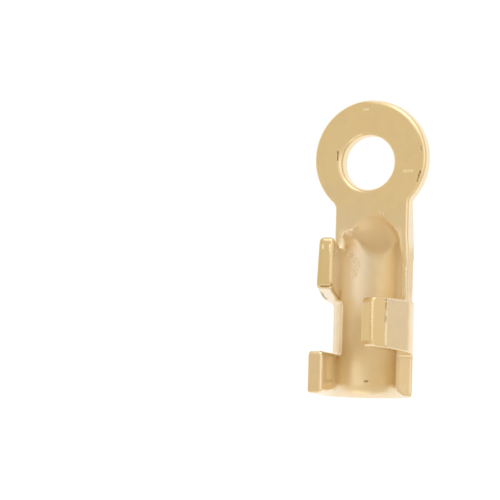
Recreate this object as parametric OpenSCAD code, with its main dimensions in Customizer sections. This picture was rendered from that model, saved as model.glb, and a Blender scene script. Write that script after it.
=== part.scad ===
// Crimp clamp for the end of a cord, stamped from one piece of brass sheet.
// A flat eye takes a jump ring. Below a short neck the strip is pressed back
// into an open channel, where the cord lies, and three tabs stand up from the
// channel's edges: two on the left and one on the right, between them.
// They are folded over the cord with pliers.
//
// The part is drawn flat: x across, y along the strip with the eye's centre at
// y = 0 and the channel below it, z = 0 on the back of the eye and +z towards
// the open side. At the end it is laid on its back and rolled to its left, as
// it comes to rest on a table.

/* [Sheet] */
// Thickness of the brass sheet
sheet = 0.5; // [0.4:0.02:0.54]
// Length from the eye's centre to the open end of the channel
reach = 7.12; // [6.9:0.02:7.6]

/* [Eye] */
// Outer diameter of the eye
eye_d = 3.52; // [3.3:0.02:3.8]
// How far the eye sits to the left of the strip's centre line
eye_left = 0.09; // [0:0.01:0.2]
// Diameter of the hole in the eye
hole_d = 1.62; // [1.4:0.02:1.8]
// How far the hole sits to the left of the strip's centre line
hole_left = 0.155; // [0:0.005:0.25]
// How far the hole sits below the eye's centre
hole_down = 0.14; // [0:0.01:0.25]

/* [Neck] */
// Width of the neck
neck_w = 2.31; // [2.2:0.01:2.4]
// Radius of the two fillets between the eye and the neck
shoulder_r = 0.3; // [0.15:0.05:0.5]

/* [Channel] */
// Inner radius of the channel, where the cord lies
bed_r = 0.88; // [0.84:0.01:0.95]
// Height of the channel's axis above the back of the eye
bed_z = 0.585; // [0.5:0.005:0.65]
// Angle from the channel's lowest line to each edge
edge_angle = 69.5; // [64:0.5:75]
// Distance from the eye's centre to the top of the channel's floor
floor_start = 2.82; // [2.7:0.02:3]
// Distance from the eye's centre to the top of the step down to that floor
bed_top = 1.72; // [1.64:0.02:1.9]
// Slope of that step
step_slope = 33; // [30:1:36]
// Distance from the centre line to the flat side above the right tab
flat_side = 1.19; // [1.16:0.01:1.22]

/* [Left tabs] */
// Height of the two left tabs above the back of the eye
left_tab_z = 2.4; // [1.9:0.02:2.5]
// Top of the upper left tab, measured down from the eye's centre
upper_tab_top = 2.66; // [2.6:0.01:2.8]
// Bottom of the upper left tab
upper_tab_bottom = 4.26; // [4:0.01:4.3]
// Inward lean of the upper left tab
upper_tab_in = 15; // [0:1:20]
// Lean of the upper left tab towards the eye
upper_tab_up = 5; // [0:1:8]
// Top of the lower left tab
lower_tab_top = 5.88; // [5.7:0.01:6.1]
// Inward lean of the lower left tab
lower_tab_in = 7; // [0:1:20]
// Radius of the tabs' corners
tab_corner_r = 0.14; // [0.05:0.01:0.2]

/* [Right tab] */
// Top of the right tab
right_tab_top = 4.28; // [4.2:0.01:4.4]
// Bottom of the right tab
right_tab_bottom = 5.82; // [5.6:0.01:5.9]
// Inward lean of the right tab up to its crease
right_tab_in = 12; // [0:1:20]
// Inward lean of the right tab past its crease
right_tip_in = 33; // [18:1:40]
// Height of the right tab's crease above the back of the eye
crease_z = 2; // [1.6:0.02:2.2]
// Length of the right tab past its crease
right_tip_l = 0.56; // [0.4:0.02:0.8]

/* [Resting position] */
// How far the part rolls to its left as it lies on its back
rest_roll = 20; // [0:0.1:25]

/* [Hidden] */
$fn = 96;

shell_r = bed_r + sheet;
// how far the tabs' faces stay inside the channel's two round faces
skin = 0.01;
far = 12;
// how far down the neck's flat part goes at its two edges
neck_end = floor_start + 0.1;

// sideways place of a cross-section's point once the part is rolled
function roll_x(x, z) = x * cos(rest_roll) - z * sin(rest_roll);

// the rolled part's own box: its leftmost point is the outer edge of the lower
// left tab's tip or of the eye's face, its rightmost the edge of the eye's back
low_tip_l = (left_tab_z - bed_z - (shell_r - skin) * sin(lower_tab_in)) / cos(lower_tab_in);
low_tip_x = low_tip_l * sin(lower_tab_in) - (shell_r - skin) * cos(lower_tab_in);
box_left = min(roll_x(low_tip_x, left_tab_z), roll_x(-eye_d / 2 - eye_left, sheet));
box_right = roll_x(eye_d / 2 - eye_left, 0);
box_mid_y = (eye_d / 2 - reach) / 2;
lowest = bed_z * cos(rest_roll) - shell_r;

// ---- flat outline of the eye and the neck ----

// fillet between the eye and the neck: side = 1 on the right, -1 on the left
module shoulder(side) {
    cx = side * (neck_w / 2 + shoulder_r);
    dx = cx + eye_left;
    cy = -sqrt(pow(eye_d / 2 + shoulder_r, 2) - dx * dx);
    k = eye_d / 2 / (eye_d / 2 + shoulder_r);
    difference() {
        polygon([
            [cx, cy],
            [0, cy],
            [0, cy * k],
            [-eye_left + dx * k, cy * k]
        ]);
        translate([cx, cy]) circle(r = shoulder_r);
    }
}

module strip_outline() {
    difference() {
        union() {
            translate([-eye_left, 0]) circle(d = eye_d);
            translate([-neck_w / 2, -neck_end]) square([neck_w, neck_end - 0.4]);
            shoulder(1);
            shoulder(-1);
        }
        translate([-hole_left, -hole_down]) circle(d = hole_d);
    }
}

// ---- cross-sections: x across, y stands for the height ----

// extrudes a cross-section from `from` to `to` below the eye's centre
module along(from, to) {
    translate([0, -from, 0]) rotate([90, 0, 0]) linear_extrude(height = to - from) children();
}

// slice of a disc between two angles, measured from the lowest line
module pie(a0, a1) {
    intersection() {
        circle(r = shell_r);
        polygon(concat([[0, 0]], [for (i = [0 : 4]) let (a = a0 + (a1 - a0) * i / 4)
            [2 * shell_r * sin(a), -2 * shell_r * cos(a)]]));
    }
}

// points of a tab's bent foot, from inside the channel's wall up to its lean
function foot(r, lean) = [for (i = [0 : 4])
    let (a = edge_angle - 6 + (26.5 + lean) * i / 4) [r * sin(a), -r * cos(a)]];
function turned(p, a) = [p[0] * cos(a) - p[1] * sin(a), p[0] * sin(a) + p[1] * cos(a)];
function backwards(v) = [for (i = [len(v) - 1 : -1 : 0]) v[i]];

// a tab that leans in by `lean` up to the height top_z
module straight_tab_section(lean, top_z) {
    l = (top_z - bed_z - shell_r * sin(lean)) / cos(lean);
    translate([0, bed_z]) polygon(concat(
        foot(shell_r - skin, lean), [turned([shell_r - skin, l], lean)],
        [turned([bed_r + skin, l], lean)], backwards(foot(bed_r + skin, lean))));
}

// a tab with a crease: it leans in by lean0 up to top_z, then by lean1
module creased_tab_section(lean0, lean1, top_z, tip) {
    l = (top_z - bed_z - shell_r * sin(lean0)) / cos(lean0);
    w = sheet - 2 * skin;
    translate([0, bed_z]) polygon(concat(
        foot(shell_r - skin, lean0),
        [for (p = [[0, 0], turned([0, tip], lean1 - lean0), turned([-w, tip], lean1 - lean0),
                [-w, -w * tan((lean1 - lean0) / 2)]])
            turned([shell_r - skin, l] + p, lean0)],
        backwards(foot(bed_r + skin, lean0))));
}

// side view of a tab with rounded corners, x for y and y for the height
module tab_profile(top, bottom, top_z, up) {
    w = bottom - top;
    r = tab_corner_r;
    translate([-bottom, -1.5]) square([w, 1.7]);
    translate([-(top + bottom) / 2, 0]) rotate(-up) {
        translate([-w / 2, 0]) square([w, top_z - r]);
        translate([-w / 2 + r, 0]) square([w - 2 * r, top_z]);
        for (s = [-1, 1])
            translate([s * (w / 2 - r), top_z - r]) circle(r = r);
    }
}

module tab(top, bottom, top_z, up) {
    intersection() {
        along(top - 0.5, bottom + 0.5) children();
        translate([-far / 2, 0, 0]) rotate([90, 0, 90]) linear_extrude(height = far)
            tab_profile(top, bottom, top_z, up);
    }
}

// ---- pieces of the strip ----

// everything above the step's slope, moved down by `down`
module above_step(down) {
    translate([0, -floor_start, bed_z - bed_r]) rotate([step_slope, 0, 0])
        translate([-far / 2, -far / 2, -down]) cube([far, far, far]);
}

// the channel and the back of the step, filled up to the channel's axis
module channel_outside() {
    intersection() {
        along(hole_down + hole_d / 2 + 0.25, reach)
            translate([0, bed_z]) pie(-edge_angle, edge_angle);
        above_step(sheet);
        union() {
            translate([-far / 2, -far - floor_start, -far / 2]) cube([far, far, far]);
            // along the neck it is no wider than the neck
            translate([-neck_w / 2, -far, sheet / 2 - far]) cube([neck_w, far, far]);
        }
    }
    // the flat side above the right tab
    along(floor_start - 0.5, right_tab_top + 0.1)
        polygon([[0, 0], [0.6, -0.5],
            [flat_side, bed_z - sqrt(shell_r * shell_r - flat_side * flat_side) + skin],
            [flat_side, sheet], [flat_side - 0.1, sheet], [bed_r - 0.05, 0.2]]);
}

// room for the cord, open at the bottom end, with the step's hollow at its top
module bed() {
    translate([0, -floor_start, bed_z]) rotate([90, 0, 0]) cylinder(r = bed_r, h = reach);
    // the step's hollow: it narrows towards the eye and its top is rounded
    intersection() {
        translate([0, -floor_start, bed_z]) rotate([-90, 0, 0])
            cylinder(r1 = bed_r, r2 = bed_r - 0.12, h = floor_start - 1.5);
        above_step(0);
        translate([0, 0, -far / 2]) linear_extrude(height = far) {
            translate([0, -bed_top - bed_r - 0.07]) circle(r = bed_r + 0.07);
            translate([-bed_r - 0.07, -far]) square([2 * bed_r + 0.14, far - bed_top - bed_r - 0.07]);
        }
    }
}

module clamp_body() {
    color([0.86, 0.74, 0.53])
    translate([-(box_left + box_right) / 2, -box_mid_y, -lowest])
    rotate([0, -rest_roll, 0])
    union() {
        difference() {
            union() {
                linear_extrude(height = sheet) strip_outline();
                channel_outside();
            }
            bed();
        }
        // upper left tab
        mirror([1, 0, 0]) tab(upper_tab_top, upper_tab_bottom, left_tab_z, upper_tab_up)
            straight_tab_section(upper_tab_in, left_tab_z + 0.2);
        // lower left tab, flush with the open end
        mirror([1, 0, 0]) tab(lower_tab_top, reach, left_tab_z, 0)
            straight_tab_section(lower_tab_in, left_tab_z + 0.2);
        // right tab
        tab(right_tab_top, right_tab_bottom, 4, 0)
            creased_tab_section(right_tab_in, right_tip_in, crease_z, right_tip_l);
    }
}

clamp_body();
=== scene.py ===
import math

import bpy
import numpy as np
from mathutils import Matrix, Vector


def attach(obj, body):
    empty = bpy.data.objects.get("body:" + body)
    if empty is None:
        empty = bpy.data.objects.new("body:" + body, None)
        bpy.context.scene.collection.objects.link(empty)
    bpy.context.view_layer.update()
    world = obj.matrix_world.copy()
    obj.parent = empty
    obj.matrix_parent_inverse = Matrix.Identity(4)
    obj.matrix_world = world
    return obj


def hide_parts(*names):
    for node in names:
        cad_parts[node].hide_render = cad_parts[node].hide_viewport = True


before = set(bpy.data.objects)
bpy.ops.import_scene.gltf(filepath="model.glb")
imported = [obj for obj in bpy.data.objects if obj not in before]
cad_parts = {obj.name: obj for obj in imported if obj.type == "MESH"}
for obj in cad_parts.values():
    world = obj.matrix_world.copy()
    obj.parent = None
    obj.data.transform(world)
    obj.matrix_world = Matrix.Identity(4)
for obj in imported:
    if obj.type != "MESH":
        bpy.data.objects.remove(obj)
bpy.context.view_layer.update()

# ---------------------------------------------------------------------------
# The clamp's own frame, in mm: x across the strip, y along it with the eye's
# centre at 0 and the channel towards -y, z = 0 on the back of the eye.
# ---------------------------------------------------------------------------
ROLL = math.radians(20.0)
OFFSET = (0.17009, 2.68, 0.83028)  # from the rolled part frame to the row frame, mm
BED_R = 0.88
SHEET = 0.5
OUT_R = BED_R + SHEET
MID_R = BED_R + SHEET / 2
BED_Z = 0.585
REACH = 7.12
EDGE = math.radians(69.5)
FLOOR_Y = -2.82
SLOPE = math.radians(33.0)
VOXEL = 0.0336


def to_world(p):
    """Part frame in mm to the row frame in metres, for an (n, 3) array."""
    c, s = math.cos(ROLL), math.sin(ROLL)
    x = p[:, 0] * c - p[:, 2] * s + OFFSET[0]
    y = p[:, 1] + OFFSET[1]
    z = p[:, 0] * s + p[:, 2] * c + OFFSET[2]
    return np.stack([x, y, z], 1) * 0.001


def rmax(a, b, r):
    """Intersection whose outside edge is rounded with radius r."""
    return np.minimum(-r, np.maximum(a, b)) + np.sqrt(
        np.maximum(a + r, 0) ** 2 + np.maximum(b + r, 0) ** 2
    )


def rmin(a, b, r):
    """Union whose inside corner is filled with radius r."""
    return -rmax(-a, -b, r)


def smooth(t, a, b):
    u = np.clip((t - a) / (b - a), 0, 1)
    return u * u * (3 - 2 * u)


def lean_frame(lean, side):
    """Outward normal and upward direction of a tab that leans in by `lean`."""
    return (
        (side * np.cos(lean), np.sin(lean)),
        (-side * np.sin(lean), np.cos(lean)),
    )


def wall(x, y, zb, q, side, lean, crease=None):
    """(distance to the sheet's mid layer less half its thickness, way along the
    sheet from the end of the bend) on one side of the channel."""
    theta = np.arctan2(side * x, -zb)
    (nx, nz), (tx, tz) = lean_frame(lean, side)
    out = x * nx + zb * nz
    up = x * tx + zb * tz
    straight = (up > 0) & (side * x > -0.2)
    layer = np.where(straight, np.abs(out - MID_R), np.abs(q - MID_R)) - SHEET / 2
    way = np.where(straight, up, MID_R * (theta - (math.pi / 2 + lean)))
    if crease is not None:
        at, tip_lean = crease
        (mx, mz), (ux, uz) = lean_frame(tip_lean, side)
        cx = nx * OUT_R + tx * at
        cz = nz * OUT_R + tz * at
        dx, dz = x - cx, zb - cz
        past = (dx * (tx + ux) + dz * (tz + uz) > 0) & straight
        layer = np.where(
            past, np.abs(dx * mx + dz * mz + SHEET / 2) - SHEET / 2, layer
        )
        way = np.where(past, at + dx * ux + dz * uz, way)
    return layer, way, theta


def rounded_box(u, v, hu, hv, r):
    du, dv = np.abs(u) - hu + r, np.abs(v) - hv + r
    return (
        np.minimum(np.maximum(du, dv), 0)
        + np.sqrt(np.maximum(du, 0) ** 2 + np.maximum(dv, 0) ** 2)
        - r
    )


def tab_outline(way, y, top, bottom, length, up, r, taper=0.0, start=-1.0):
    """Flat outline of a tab on the developed sheet; `way` is 0 at the bend's end."""
    w = (bottom - top) / 2
    mid = -(top + bottom) / 2
    v = y - mid - up * way
    v = v + taper * way * (1 - v / w) / 2
    return rounded_box(way - (start + length) / 2, v, (length - start) / 2, w, r)


def soft_low(a, b, k):
    """The lower of a and b, with the corner between them rounded over k."""
    h = np.maximum(k - np.abs(a - b), 0) / k
    return np.minimum(a, b) - h * h * k / 4


def step_height(x, y):
    """Height of the front of the step between the neck's flat and the channel,
    and how far down the step the point is, from 0 to 1."""
    floor_z = BED_Z - np.sqrt(np.maximum(BED_R**2 - x * x, 0.004))
    floor_z = np.minimum(floor_z, SHEET)
    top = -1.68 - 1.0 * (x - 0.08) ** 2
    foot = -2.81 + soft_low(1.2 * (x + 0.03) ** 2, 0.43, 0.2)
    gap = 0.06 + 0.16 * smooth(-x, -0.3, 0)
    top = -soft_low(-top, -foot - gap, 0.3)
    t = (top - y) / (top - foot)
    s = soft_low(-soft_low(-t, 0.0, 0.15), 1.0, 0.22)
    return SHEET + (floor_z - SHEET) * s, t


def strip_outline(x, y, half):
    """Flat outline of the eye and the neck, with a true fillet between them."""
    eye = np.sqrt((x + 0.09) ** 2 + y * y) - 1.76
    neck = np.maximum(np.abs(x) - half, y + 0.5)
    d = np.minimum(eye, neck)
    for side in (1, -1):
        cx = side * (1.155 + 0.3)
        dx = cx + 0.09
        cy = -math.sqrt((1.76 + 0.3) ** 2 - dx * dx)
        near = (y > cy) & (side * (dx * y - cy * (x + 0.09)) < 0) & (side * x > 0.6)
        d = np.where(near, 0.3 - np.sqrt((x - cx) ** 2 + (y - cy) ** 2), d)
    return d


def solid(x, y, z):
    """Signed distance to the clamp, in mm, negative inside."""
    zb = z - BED_Z
    q = np.sqrt(x * x + zb * zb)
    half = 1.155 + 0.035 * smooth(-y, 2.25, 2.75) * (x > 0)
    strip = strip_outline(x, y, half)
    # back of the sheet: the eye's back, the back of the step, the channel's back
    back_slope = (
        math.sin(SLOPE) * (y - FLOOR_Y) - math.cos(SLOPE) * (z + BED_R - BED_Z) - SHEET
    )
    hull = rmax(q - OUT_R, back_slope, 0.42)
    back = rmin(np.maximum(-z, -2.9 - y), hull, 0.22)
    # the front: the neck's flat, the step, and the channel's hollow with its rim
    # the channel's right wall opens outwards above the right tab
    rim = 0.03 + 0.06 * smooth(-y, 2.4, 2.6)
    rim = rim + 0.12 * smooth(-y, 2.1, 2.5) * smooth(-x, 0.2, 0.5)
    open_at = EDGE - math.radians(19.5) * smooth(-y, 2.4, 3.1) * smooth(y, -4.8, -4.5)
    flared = BED_R - x * np.sin(open_at) + zb * np.cos(open_at)
    bed = np.where(np.arctan2(x, -zb) > open_at, flared, BED_R - q)
    front = rmax(z - SHEET, bed, rim)
    h, t = step_height(x, y)
    e = 0.01
    hx = (step_height(x + e, y)[0] - step_height(x - e, y)[0]) / (2 * e)
    hy = (step_height(x, y + e)[0] - step_height(x, y - e)[0]) / (2 * e)
    step = (z - h) / np.sqrt(1 + hx * hx + hy * hy)
    # past its foot the step gives way to the channel with its rounded rim
    step = step + 0.4 * smooth(t, 0.9, 1.6) * smooth(np.abs(x), 0.5, 0.75)
    front = np.minimum(front, np.where(t > 1.6, 1.0, step))
    # the eye's front edge is worn more at its upper right
    turn = np.arctan2(y, x + 0.09)
    worn = smooth(turn, 0.2, 0.7) * (1 - smooth(turn, 1.4, 1.75))
    upper = rmax(rmax(back, strip, 0.1), front, 0.1 + 0.09 * worn)
    upper = np.maximum(upper, np.where(x < 0, -3.25, -4.7) - y)
    # left side: channel wall with the upper and the lower tab
    lean = np.radians(15.0) + np.radians(1.8) * (y + 3.46)
    lean = np.where(y < -5.0, np.radians(7.0), lean)
    layer, way, theta = wall(x, y, zb, q, -1, lean)
    full = MID_R * (math.pi / 2 + lean)
    # its sheared edge is higher on the inside
    edge = MID_R * (EDGE + math.radians(10.5) * (OUT_R - q) / SHEET)
    base = way + full - edge
    base = np.maximum(base, y + 3.05)
    out = zb * np.sin(lean) - x * np.cos(lean)
    thin = 0.05 * smooth(way, 0.3, 1.3) * smooth(y, -4.3, -2.7)
    thin = np.where(y < -5.0, 0.05 * smooth(way, 0.3, 1.3), thin)
    layer = np.where(way > 0.2, np.maximum(layer, BED_R + thin - out), layer)
    top1 = (2.4 - BED_Z - MID_R * np.sin(lean)) / np.cos(lean)
    tab1 = tab_outline(
        way, y, 2.66, 4.26, 1.576, math.tan(math.radians(5)), 0.22, taper=-0.055, start=-1.45
    )
    tab2 = tab_outline(way, y, 5.88, REACH + 0.6, 1.672, 0.0, 0.16)
    flat = rmin(rmin(base, tab1, 0.13), tab2, 0.13)
    flat = np.maximum(flat, -MID_R * theta - 0.3)
    # low down it keeps inside the rounded back of the step
    room = 0.6 * smooth(z, -0.25, 0.45) + 3.0 * smooth(z, 0.45, 0.8)
    blunt = 0.1 + 0.03 * smooth(y, -4.8, -4.5) * smooth(way, 0.5, 1.0)
    left = np.maximum(rmax(layer, flat, blunt), hull - room)
    # right side: channel wall with the creased tab
    lean = math.radians(12.0)
    crease_at = (2.0 - BED_Z - OUT_R * math.sin(lean)) / math.cos(lean)
    layer, way, theta = wall(
        x, y, zb, q, 1, lean, crease=(crease_at, math.radians(33.0))
    )
    base = way + MID_R * (math.pi / 2 + lean - EDGE)
    base = np.maximum(base, y + 4.6)
    tab3 = tab_outline(way, y, 4.28, 5.82, crease_at + 0.57, 0.0, 0.22, taper=-0.05)
    flat = rmin(base, tab3, 0.12)
    flat = np.maximum(flat, -MID_R * theta - 0.3)
    right = rmax(layer, flat, 0.08)
    d = np.minimum(np.minimum(upper, left), right)
    # the open end, rolled over on its inside
    d = rmax(d, -REACH - y, 0.09)
    inner = np.where((zb > 0) & (x < 0), BED_R - out, BED_R - q)
    lip = 0.42 - 0.2 * smooth(zb, -0.1, 0.5)
    d = np.maximum(d, np.where(y < -6.3, rmax(inner, -REACH - y, lip), -1.0))
    # the hole, with the rolled-over rim that punching leaves on its front
    hole = 0.808 - np.sqrt((x + 0.172) ** 2 + (y + 0.12) ** 2)
    return rmax(d, hole, 0.06 + 0.13 * smooth(z, 0.1, 0.4))


def field_grid():
    lo = np.array([-2.0, -7.24, -0.92])
    hi = np.array([1.84, 1.88, 3.0])
    n = np.ceil((hi - lo) / VOXEL).astype(int) + 1
    axes = [(lo[i] + VOXEL * np.arange(n[i])).astype(np.float32) for i in range(3)]
    f = np.empty(tuple(n), np.float32)
    step = 24
    for i in range(0, n[0], step):
        x, y, z = np.meshgrid(axes[0][i : i + step], axes[1], axes[2], indexing="ij")
        f[i : i + step] = solid(x, y, z)
    return lo, f


def surface(lo, f):
    """Quads of the surface where f = 0, one vertex per cell that it crosses."""
    inside = f < 0
    cells = tuple(s - 1 for s in f.shape)
    where, point = [], []
    quads = []
    strides = np.array([cells[1] * cells[2], cells[2], 1])
    for axis in range(3):
        a = [slice(None)] * 3
        b = [slice(None)] * 3
        a[axis] = slice(0, -1)
        b[axis] = slice(1, None)
        a, b = tuple(a), tuple(b)
        idx = np.argwhere(inside[a] != inside[b])
        fa, fb = f[a][tuple(idx.T)], f[b][tuple(idx.T)]
        p = idx.astype(np.float64)
        p[:, axis] += fa / (fa - fb)
        u, v = [(1, 2), (2, 0), (0, 1)][axis]
        ok = (
            (idx[:, u] > 0)
            & (idx[:, v] > 0)
            & (idx[:, u] < cells[u])
            & (idx[:, v] < cells[v])
        )
        idx, p, fa = idx[ok], p[ok], fa[ok]
        base = idx @ strides
        ring = [
            base,
            base - strides[u],
            base - strides[u] - strides[v],
            base - strides[v],
        ]
        for r in ring:
            where.append(r)
            point.append(p)
        quad = np.stack(ring, 1)
        flip = fa > 0
        quad[flip] = quad[flip][:, ::-1]
        quads.append(quad)
    where = np.concatenate(where)
    point = np.concatenate(point)
    quads = np.concatenate(quads)
    used, inverse = np.unique(where, return_inverse=True)
    inverse = inverse.reshape(-1)
    count = np.bincount(inverse)
    verts = np.stack(
        [np.bincount(inverse, point[:, k]) / count for k in range(3)], 1
    )
    faces = np.searchsorted(used, quads)
    return lo + verts * VOXEL, faces


def gradient(p, e=0.004):
    g = np.empty_like(p)
    for k in range(3):
        d = np.zeros(3)
        d[k] = e
        a, b = p + d, p - d
        g[:, k] = solid(a[:, 0], a[:, 1], a[:, 2]) - solid(b[:, 0], b[:, 1], b[:, 2])
    return g / (2 * e)


def settle(verts, faces):
    """Evens out the quads and puts every vertex on the true surface."""
    ends = np.concatenate([faces[:, [0, 1]], faces[:, [1, 2]], faces[:, [2, 3]], faces[:, [3, 0]]])
    i = np.concatenate([ends[:, 0], ends[:, 1]])
    j = np.concatenate([ends[:, 1], ends[:, 0]])
    count = np.bincount(i, minlength=len(verts))[:, None]
    for turn in range(4):
        if turn < 3:
            mean = np.stack(
                [np.bincount(i, verts[j, k], minlength=len(verts)) for k in range(3)], 1
            ) / count
            move = mean - verts
        g = gradient(verts)
        size = np.maximum((g * g).sum(1, keepdims=True), 0.2)
        if turn < 3:
            move -= g * ((move * g).sum(1, keepdims=True) / size)
            verts = verts + 0.5 * move
        f = solid(verts[:, 0], verts[:, 1], verts[:, 2])[:, None]
        verts = verts - np.clip(f / size, -0.02, 0.02) * g
    return verts


lo, f = field_grid()
verts, faces = surface(lo, f)
verts = settle(verts, faces)
print("clamp surface:", len(verts), "vertices,", len(faces), "quads")

mesh = bpy.data.meshes.new("clamp")
mesh.from_pydata(to_world(verts).tolist(), [], faces.tolist())
mesh.validate()
mesh.polygons.foreach_set("use_smooth", np.ones(len(mesh.polygons), bool))
clamp = bpy.data.objects.new("clamp", mesh)
bpy.context.scene.collection.objects.link(clamp)

# ---------------------------------------------------------------------------
# Gilt brass
# ---------------------------------------------------------------------------
class Graph:
    """Short forms for the nodes of one tree."""

    def __init__(self, tree):
        self.nodes, self.links = tree.nodes, tree.links

    def put(self, socket, value):
        if isinstance(value, bpy.types.NodeSocket):
            self.links.new(value, socket)
        else:
            socket.default_value = value

    def math(self, op, a, b=None, clamp=False):
        n = self.nodes.new("ShaderNodeMath")
        n.operation = op
        n.use_clamp = clamp
        self.put(n.inputs[0], a)
        if b is not None:
            self.put(n.inputs[1], b)
        return n.outputs[0]

    def vector(self, op, a, b=None, scale=None):
        n = self.nodes.new("ShaderNodeVectorMath")
        n.operation = op
        self.put(n.inputs[0], a)
        if b is not None:
            self.put(n.inputs[1], b)
        if scale is not None:
            self.put(n.inputs["Scale"], scale)
        return n.outputs[1 if op in ("DOT_PRODUCT", "DISTANCE", "LENGTH") else 0]

    def step(self, value, start, end, low=0.0, high=1.0):
        """Smooth step from low at start to high at end."""
        n = self.nodes.new("ShaderNodeMapRange")
        n.interpolation_type = "SMOOTHSTEP"
        self.put(n.inputs["Value"], value)
        if start > end:
            start, end, low, high = end, start, high, low
        for name, v in zip(("From Min", "From Max", "To Min", "To Max"), (start, end, low, high)):
            n.inputs[name].default_value = v
        return n.outputs[0]

    def mix(self, factor, a, b):
        n = self.nodes.new("ShaderNodeMix")
        n.data_type = "RGBA"
        self.put(n.inputs[0], factor)
        for socket, v in ((n.inputs[6], a), (n.inputs[7], b)):
            self.put(socket, (*v, 1) if isinstance(v, tuple) else v)
        return n.outputs[2]

    def noise(self, vector, scale, detail=1.0):
        n = self.nodes.new("ShaderNodeTexNoise")
        self.put(n.inputs["Vector"], vector)
        n.inputs["Scale"].default_value = scale
        n.inputs["Detail"].default_value = detail
        return n.outputs[0], n.outputs[1]


gilt = bpy.data.materials.new("gilt_brass")
gilt.use_nodes = True
bsdf = gilt.node_tree.nodes["Principled BSDF"]
g = Graph(gilt.node_tree)

# the clamp's own frame again, in mm, for the shader
own = g.nodes.new("ShaderNodeMapping")
own.vector_type = "TEXTURE"
own.inputs["Location"].default_value = [c * 0.001 for c in OFFSET]
own.inputs["Rotation"].default_value = (0, -ROLL, 0)
own.inputs["Scale"].default_value = (0.001, 0.001, 0.001)
g.links.new(g.nodes.new("ShaderNodeTexCoord").outputs["Object"], own.inputs["Vector"])
own = own.outputs[0]
axes = g.nodes.new("ShaderNodeSeparateXYZ")
g.links.new(own, axes.inputs[0])
own_x, own_y, own_z = axes.outputs

broad, broad_colour = g.noise(own, 0.9, 2.0)
middle, _ = g.noise(own, 3.1, 2.0)
fine, fine_colour = g.noise(own, 14.0, 2.0)
specks, _ = g.noise(own, 26.0, 1.0)
# the marks' outlines wander a little
wander = g.vector("SUBTRACT", fine_colour, (0.5, 0.5, 0.5))
wandering = g.vector("ADD", own, g.vector("SCALE", wander, scale=0.06))


def stroke(start, end, radius):
    """1 on the line between two points, falling to 0 at `radius` from it."""
    along = [b - a for a, b in zip(start, end)]
    length2 = sum(c * c for c in along)
    rel = g.vector("SUBTRACT", wandering, start)
    way = g.math("DIVIDE", g.vector("DOT_PRODUCT", rel, along), length2, clamp=True)
    near = g.vector("SCALE", along, scale=way)
    return g.step(g.vector("DISTANCE", rel, near), radius, 0.0)


def total(values):
    out = values[0]
    for v in values[1:]:
        out = g.math("MAXIMUM", out, v)
    return out


bed_low = BED_Z - BED_R
# cuts and pits: dark, and sunk into the metal
grooves = total(
    [
        stroke((-1.124, 0.2, 0.5), (-1.117, -0.06, 0.5), 0.045),
        stroke((1.505, -0.41, 0.49), (1.42, -0.7, 0.49), 0.045),
        stroke((1.517, 0.31, 0.48), (1.52, 0.22, 0.48), 0.05),
        stroke((-0.321, -6.64, -0.234), (-0.27, -6.63, -0.25), 0.06),
        stroke((-1.05, -4.12, 1.85), (-1.063, -4.15, 1.64), 0.05),
        stroke((-1.063, -4.15, 1.64), (-1.17, -4.216, 1.18), 0.05),
        stroke((-1.17, -4.216, 1.18), (-1.18, -4.254, 0.91), 0.045),
        stroke((-0.84, -3.97, 2.34), (-0.75, -4.01, 2.32), 0.05),
        stroke((-0.75, -4.01, 2.32), (-0.55, -3.95, 2.27), 0.05),
        g.math("MULTIPLY", stroke((-0.53, -2.83, 2.4), (-0.49, -3.85, 2.4), 0.035), 0.35),
        stroke((1.12, -5.72, 1.98), (1.06, -5.79, 2.07), 0.05),
    ]
)
# burrs and scuffs, standing a little proud, and painted highlights along the tabs' edges and the rims: bright
burrs_and_highlights = total(
    [
        stroke((1.0, -0.403, 0.5), (1.25, -0.407, 0.5), 0.07),
        stroke((-0.316, 1.468, 0.5), (-0.189, 1.465, 0.5), 0.04),
        stroke((0.246, -1.62, 0.5), (0.25, -1.77, 0.5), 0.035),
        stroke((0.358, -1.65, 0.5), (0.363, -1.83, 0.5), 0.035),
        stroke((-0.785, -2.786, 2.45), (-0.783, -2.9, 2.44), 0.045),
        stroke((1.12, -3.3, 0.47), (1.17, -4.13, 0.47), 0.045),
        stroke((0.785, -4.42, 2.475), (0.80, -5.15, 2.475), 0.05),
        stroke((0.40, -4.5, 2.22), (0.40, -5.65, 2.22), 0.07),
        stroke((0.42, -5.76, 2.22), (0.78, -5.76, 2.46), 0.05),
        stroke((-0.58, -2.79, 2.4), (-0.51, -3.9, 2.4), 0.045),
        stroke((-0.81, -2.453, 0.48), (-0.43, -2.45, 0.42), 0.04),
    ]
)
# the right tab's crease: a thin ridge with a painted highlight along it, crumbled near the tab's upper end
crease = stroke((1.11, -4.34, 2.0), (1.11, -5.8, 2.0), 0.045)
crumbled = g.math(
    "MULTIPLY",
    g.math("MULTIPLY", stroke((1.095, -4.34, 2.02), (1.095, -5.0, 2.02), 0.06), 1.5, clamp=True),
    g.step(specks, 0.5, 0.55),
)
# a rough patch on the channel's floor
patch = total(
    [
        stroke((-0.767, -2.83, 0.154), (-0.6, -3.1, -0.06), 0.16),
        stroke((-0.6, -3.1, -0.06), (-0.67, -3.45, 0.016), 0.13),
    ]
)
patch = g.step(patch, 0.05, 0.4)
pits = g.math("MULTIPLY", patch, g.step(specks, 0.47, 0.41))
patch = g.math("MULTIPLY", patch, g.step(specks, 0.47, 0.54))
# painted reflections: bands down the channel's floor, pale, then greyer, then golden
pale_band_reflection = stroke((-0.70, -2.85, 0.06), (-0.72, -4.0, 0.08), 0.28)
grey_band_reflection = stroke((-0.40, -2.95, -0.19), (-0.40, -4.2, -0.19), 0.4)
golden_band_reflection = stroke((0.48, -2.95, -0.15), (0.48, -4.2, -0.15), 0.5)
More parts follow.
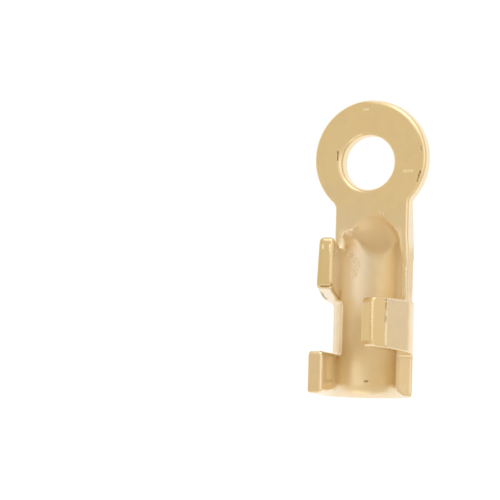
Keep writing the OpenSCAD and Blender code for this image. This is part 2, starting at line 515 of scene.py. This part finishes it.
# the open end's lip is dented from tumbling
end_zone = g.math("MULTIPLY", g.step(own_y, -6.7, -6.95), g.step(own_z, 0.6, 0.3))
# painted shade: a dark orange spot in the notch where the neck meets the upper left tab
notch_shade = stroke((-0.99, -2.618, 0.36), (-0.86, -2.65, 0.3), 0.12)
# painted reflection: golden patches inside, at the lower corners of the left tabs
tab_corner_reflection = total(
    [
        stroke((-0.87, -4.05, 0.6), (-0.87, -4.22, 0.72), 0.22),
        stroke((-0.9, -5.95, 0.7), (-0.9, -6.1, 0.9), 0.2),
    ]
)

# the step's face, and all that faces the cord
apex = g.math("SUBTRACT", own_x, 0.08)
top_line = g.math("SUBTRACT", -1.68, g.math("MULTIPLY", apex, apex))
foot_line = g.math("MINIMUM", g.math("MULTIPLY", g.math("MULTIPLY", own_x, own_x), 1.2), 0.42)
foot_line = g.math("SUBTRACT", foot_line, 2.81)
face = g.math(
    "MULTIPLY",
    g.step(g.math("SUBTRACT", own_y, top_line), 0.04, -0.06),
    g.step(g.math("SUBTRACT", own_y, foot_line), -0.08, 0.06),
)
face = g.math("MULTIPLY", face, g.step(own_z, 0.505, 0.49))
above_back = g.math("SUBTRACT", own_z, g.math("MULTIPLY", g.math("ADD", own_y, 1.68), 0.7))
face = g.math("MULTIPLY", face, g.step(above_back, 0.15, 0.25))
low = g.math("SUBTRACT", own_z, BED_Z)
from_axis = g.math("SQRT", g.math("ADD", g.math("MULTIPLY", own_x, own_x), g.math("MULTIPLY", low, low)))
inside = g.step(from_axis, 1.08, 0.92)
behind = g.math("SUBTRACT", g.math("ADD", own_x, 1.08), g.math("MULTIPLY", low, 0.27))
tabs = g.math("MULTIPLY", g.step(behind, 0.0, 0.06), g.step(own_x, 0.2, 0.0))
tabs = g.math("MULTIPLY", tabs, g.math("MULTIPLY", g.step(own_z, 0.35, 0.5), g.step(own_z, 2.26, 2.16)))
tabs = g.math("MULTIPLY", tabs, g.math("MULTIPLY", g.step(own_y, -5.2, -4.8), g.step(own_y, -2.5, -2.7)))
inside = g.math("MULTIPLY", inside, g.step(own_y, -2.0, -2.3))
# painted light: the channel's inner walls and the left tabs' inner faces, made paler
painted_wall_light = g.math("MULTIPLY", inside, g.step(own_z, -0.15, 0.12))
painted_wall_light = g.math("MULTIPLY", painted_wall_light, g.step(own_y, -5.9, -5.2))
painted_wall_light = g.math("MAXIMUM", painted_wall_light, tabs)

# colour: yellower on the eye, greyer on the neck, paler and pinker in the channel, partly the metal's own tone
# and partly painted reflection of the shaded floor beside the channel
along_strip = g.nodes.new("ShaderNodeMapRange")
g.put(along_strip.inputs["Value"], g.math("ADD", own_y, g.math("MULTIPLY", g.math("SUBTRACT", broad, 0.5), 0.8)))
along_strip.inputs["From Min"].default_value = -REACH
along_strip.inputs["From Max"].default_value = 1.8
shade = g.nodes.new("ShaderNodeValToRGB")
g.links.new(along_strip.outputs[0], shade.inputs[0])
tones = [
    (-7.1, (0.87, 0.76, 0.59)),
    (-5.6, (0.84, 0.74, 0.59)),
    (-3.2, (0.85, 0.78, 0.68)),
    (-1.9, (0.83, 0.755, 0.635)),
    (-0.7, (0.86, 0.76, 0.57)),
    (1.6, (0.86, 0.76, 0.56)),
]
elements = shade.color_ramp.elements
while len(elements) < len(tones):
    elements.new(0.5)
for element, (y, tone) in zip(elements, tones):
    element.position = (y + REACH) / (1.8 + REACH)
    element.color = (*tone, 1)
colour = shade.outputs[0]
mottle = g.step(broad, 0.35, 0.65)
colour = g.mix(g.math("MULTIPLY", mottle, 0.35), colour, (0.88, 0.75, 0.50))
dull = g.math("MULTIPLY", g.step(middle, 0.42, 0.62), 0.35)
colour = g.mix(dull, colour, (0.80, 0.71, 0.56))
# painted light from bounces between the walls: the inner walls paler
colour = g.mix(g.math("MULTIPLY", painted_wall_light, 0.9), colour, (0.96, 0.89, 0.78))
# painted reflections on the channel's floor
colour = g.mix(g.math("MULTIPLY", grey_band_reflection, 0.6), colour, (0.75, 0.70, 0.66))
colour = g.mix(g.math("MULTIPLY", pale_band_reflection, 0.9), colour, (0.95, 0.91, 0.93))
colour = g.mix(g.math("MULTIPLY", golden_band_reflection, 0.8), colour, (0.97, 0.84, 0.58))
# painted reflection: the step's face more orange, and painted light making it paler towards its right where its
# reflection goes dark
colour = g.mix(g.math("MULTIPLY", face, 0.7), colour, (0.84, 0.71, 0.52))
step_painted_light = g.math("MULTIPLY", face, g.step(own_x, 0.3, 0.65))
colour = g.mix(g.math("MULTIPLY", step_painted_light, 0.85), colour, (0.99, 0.87, 0.68))
# painted shade: the end of the upper left tab a darker gold
tab_tip_shade = g.math("MULTIPLY", g.step(own_z, 2.15, 2.3), g.step(own_x, 0.0, -0.2))
tab_tip_shade = g.math("MULTIPLY", tab_tip_shade, g.step(own_y, -5.0, -4.8))
# but not on the tab's outer side
outer = g.math("SUBTRACT", g.math("MULTIPLY", low, 0.2588), g.math("MULTIPLY", own_x, 0.9659))
outer = g.math("ADD", outer, g.math("MULTIPLY", g.math("ADD", own_y, 3.46), 0.0434))
tab_tip_shade = g.math("MULTIPLY", tab_tip_shade, g.step(outer, 1.385, 1.345))
colour = g.mix(g.math("MULTIPLY", tab_tip_shade, 0.8), colour, (0.79, 0.67, 0.43))
# painted shade: the right tab's outer facet past the crease darker
bent_facet_shade = g.math("MULTIPLY", g.step(own_z, 1.98, 2.06), g.step(own_x, 0.2, 0.35))
colour = g.mix(g.math("MULTIPLY", bent_facet_shade, 0.8), colour, (0.83, 0.70, 0.48))
# painted reflection at the left tabs' lower corners
colour = g.mix(g.math("MULTIPLY", tab_corner_reflection, 0.85), colour, (0.83, 0.60, 0.30))
# painted shade in the notch
colour = g.mix(g.math("MULTIPLY", notch_shade, 0.6), colour, (0.72, 0.42, 0.17))
colour = g.mix(g.math("MULTIPLY", grooves, 0.9), colour, (0.27, 0.18, 0.08))
colour = g.mix(g.math("MULTIPLY", crumbled, 0.8), colour, (0.42, 0.30, 0.14))
colour = g.mix(g.math("MULTIPLY", pits, 0.4), colour, (0.58, 0.47, 0.33))
# painted highlights on edges, rims and the crease, with the burrs and the rough patch, made pale
scuffs_and_highlights = g.math("MAXIMUM", burrs_and_highlights, patch)
scuffs_and_highlights = g.math("MAXIMUM", scuffs_and_highlights, g.math("SUBTRACT", crease, g.math("MULTIPLY", crumbled, 1.5), clamp=True))
colour = g.mix(g.math("MULTIPLY", scuffs_and_highlights, 0.9), colour, (1.0, 0.97, 0.86))
g.links.new(colour, bsdf.inputs["Base Color"])

rough = g.math("ADD", g.math("MULTIPLY", middle, 0.10), 0.12)
for part, size in ((grooves, 0.15), (face, 0.22), (patch, 0.3), (inside, 0.2)):
    rough = g.math("ADD", rough, g.math("MULTIPLY", part, size))
g.links.new(rough, bsdf.inputs["Roughness"])
bsdf.inputs["Metallic"].default_value = 1.0

# the eye's face falls off a little towards its edge
from_eye = g.vector("DISTANCE", own, (-0.09, 0.0, 0.5))
worn_edge = g.math("MULTIPLY", g.step(from_eye, 1.3, 1.85), g.step(own_y, -1.3, -1.0))
# height of the surface's unevenness in mm
height = g.math("MULTIPLY", broad, 0.022)
for part, size in (
    (middle, 0.0035),
    (fine, 0.0007),
    (grooves, -0.022),
    (burrs_and_highlights, 0.016),
    (crease, 0.008),
    (crumbled, -0.035),
    (patch, 0.003),
    (worn_edge, -0.03),
    (g.math("MULTIPLY", end_zone, middle), 0.016),
):
    height = g.math("ADD", height, g.math("MULTIPLY", part, size))
bump = g.nodes.new("ShaderNodeBump")
bump.inputs["Strength"].default_value = 1.0
bump.inputs["Distance"].default_value = 0.001
g.links.new(height, bump.inputs["Height"])
g.links.new(bump.outputs[0], bsdf.inputs["Normal"])
mesh.materials.append(gilt)

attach(clamp, "root")
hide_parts("clamp_body")

# ---------------------------------------------------------------------------
# Floor, light, camera
# ---------------------------------------------------------------------------
floor_mesh = bpy.data.meshes.new("floor")
floor_mesh.from_pydata(
    [(-0.4, -0.4, 0), (0.4, -0.4, 0), (0.4, 0.4, 0), (-0.4, 0.4, 0)], [], [(0, 1, 2, 3)]
)
floor = bpy.data.objects.new("floor", floor_mesh)
bpy.context.scene.collection.objects.link(floor)
paper = bpy.data.materials.new("white_paper")
paper.use_nodes = True
pn, pl = paper.node_tree.nodes, paper.node_tree.links
pb = pn["Principled BSDF"]
pb.inputs["Base Color"].default_value = (0.1, 0.1, 0.1, 1)
pb.inputs["Roughness"].default_value = 1.0
pb.inputs["Specular IOR Level"].default_value = 0.0
pb.inputs["Emission Strength"].default_value = 1.0
# white as the camera sees it; in the metal it is white close by and dimmer farther
# off and beside the channel
pg = Graph(paper.node_tree)
spot = pn.new("ShaderNodeTexCoord").outputs["Object"]
place = pn.new("ShaderNodeSeparateXYZ")
pg.links.new(spot, place.inputs[0])
far_right = pg.step(place.outputs[0], 0.003, 0.005)
far_left = pg.step(place.outputs[0], -0.0018, -0.0034)
beside = pg.vector("DISTANCE", spot, (0.0024, -0.0006, 0.0))
beside = pg.step(beside, 0.0012, 0.0004)
mirrored = pg.mix(far_right, (1.0, 0.94, 0.85), (0.76, 0.66, 0.50))
mirrored = pg.mix(far_left, mirrored, (0.84, 0.76, 0.62))
far_left = pg.step(place.outputs[0], -0.004, -0.008)
mirrored = pg.mix(far_left, mirrored, (0.76, 0.64, 0.43))
mirrored = pg.mix(pg.math("MULTIPLY", beside, 0.8), mirrored, (0.82, 0.66, 0.48))
seen = pn.new("ShaderNodeLightPath").outputs["Is Camera Ray"]
pg.links.new(pg.mix(seen, mirrored, (1.0, 1.0, 1.0)), pb.inputs["Emission Color"])
floor_mesh.materials.append(paper)

world = bpy.data.worlds.new("studio")
bpy.context.scene.world = world
world.use_nodes = True
wn, wl = world.node_tree.nodes, world.node_tree.links
sky = wn["Background"]
coords = wn.new("ShaderNodeTexCoord")


wg = Graph(world.node_tree)


def lobe(azimuth, elevation, sharp, strength):
    """A soft lamp in the sky: azimuth from +x towards +y, both in degrees."""
    a, e = math.radians(azimuth), math.radians(elevation)
    way = (math.cos(e) * math.cos(a), math.cos(e) * math.sin(a), math.sin(e))
    cosine = wg.vector("DOT_PRODUCT", coords.outputs["Generated"], way)
    # exp(sharp * (cos - 1)) falls off smoothly with the angle
    fall = wg.math("MULTIPLY", wg.math("SUBTRACT", cosine, 1.0), sharp)
    return wg.math("MULTIPLY", wg.math("EXPONENT", fall), strength)


# azimuth, elevation, sharpness, strength of the tent's brighter and darker areas
LAMPS = [
    (22.0, 50.0, 8.0, 0.45),
    (-75.0, 8.0, 10.0, 0.5),
    (78.0, 17.0, 14.0, 1.3),
]
light = (0.80, 0.66, 0.43)  # the tent's dim, warm ceiling
for lamp in LAMPS:
    light = wg.vector("ADD", light, lobe(*lamp))
wl.new(light, sky.inputs["Color"])
sky.inputs["Strength"].default_value = 1.0

# camera of the photograph: 22 degrees to the right of the strip's face, 5 below
PX = 0.03
A, E, RHO = math.radians(22.0), math.radians(5.0), math.radians(1.7)
FAR = 3400.0


def rolled(v):
    c, s = math.cos(ROLL), math.sin(ROLL)
    return Vector((v[0] * c - v[2] * s, v[1], v[0] * s + v[2] * c))


right0 = Vector((math.cos(A), 0, -math.sin(A)))
up0 = Vector((math.sin(A) * math.sin(E), math.cos(E), math.cos(A) * math.sin(E)))
back = Vector((math.sin(A) * math.cos(E), -math.sin(E), math.cos(A) * math.cos(E)))
cam_right = right0 * math.cos(RHO) + up0 * math.sin(RHO)
cam_up = up0 * math.cos(RHO) - right0 * math.sin(RHO)
place = back * FAR * PX - cam_right * 128.3 * PX - cam_up * 90.0 * PX
place = (rolled(place) + Vector(OFFSET)) * 0.001
rot = Matrix((rolled(cam_right), rolled(cam_up), rolled(back))).transposed().to_4x4()
cam = bpy.data.cameras.new("camera")
cam.sensor_width = 36.0
cam.angle = 2 * math.atan(250.0 / FAR)
cam.clip_start = 0.01
cam.clip_end = 10.0
camera = bpy.data.objects.new("camera", cam)
camera.matrix_world = Matrix.Translation(place) @ rot
bpy.context.scene.collection.objects.link(camera)
bpy.context.scene.camera = camera
bpy.context.scene.view_settings.view_transform = "Standard"
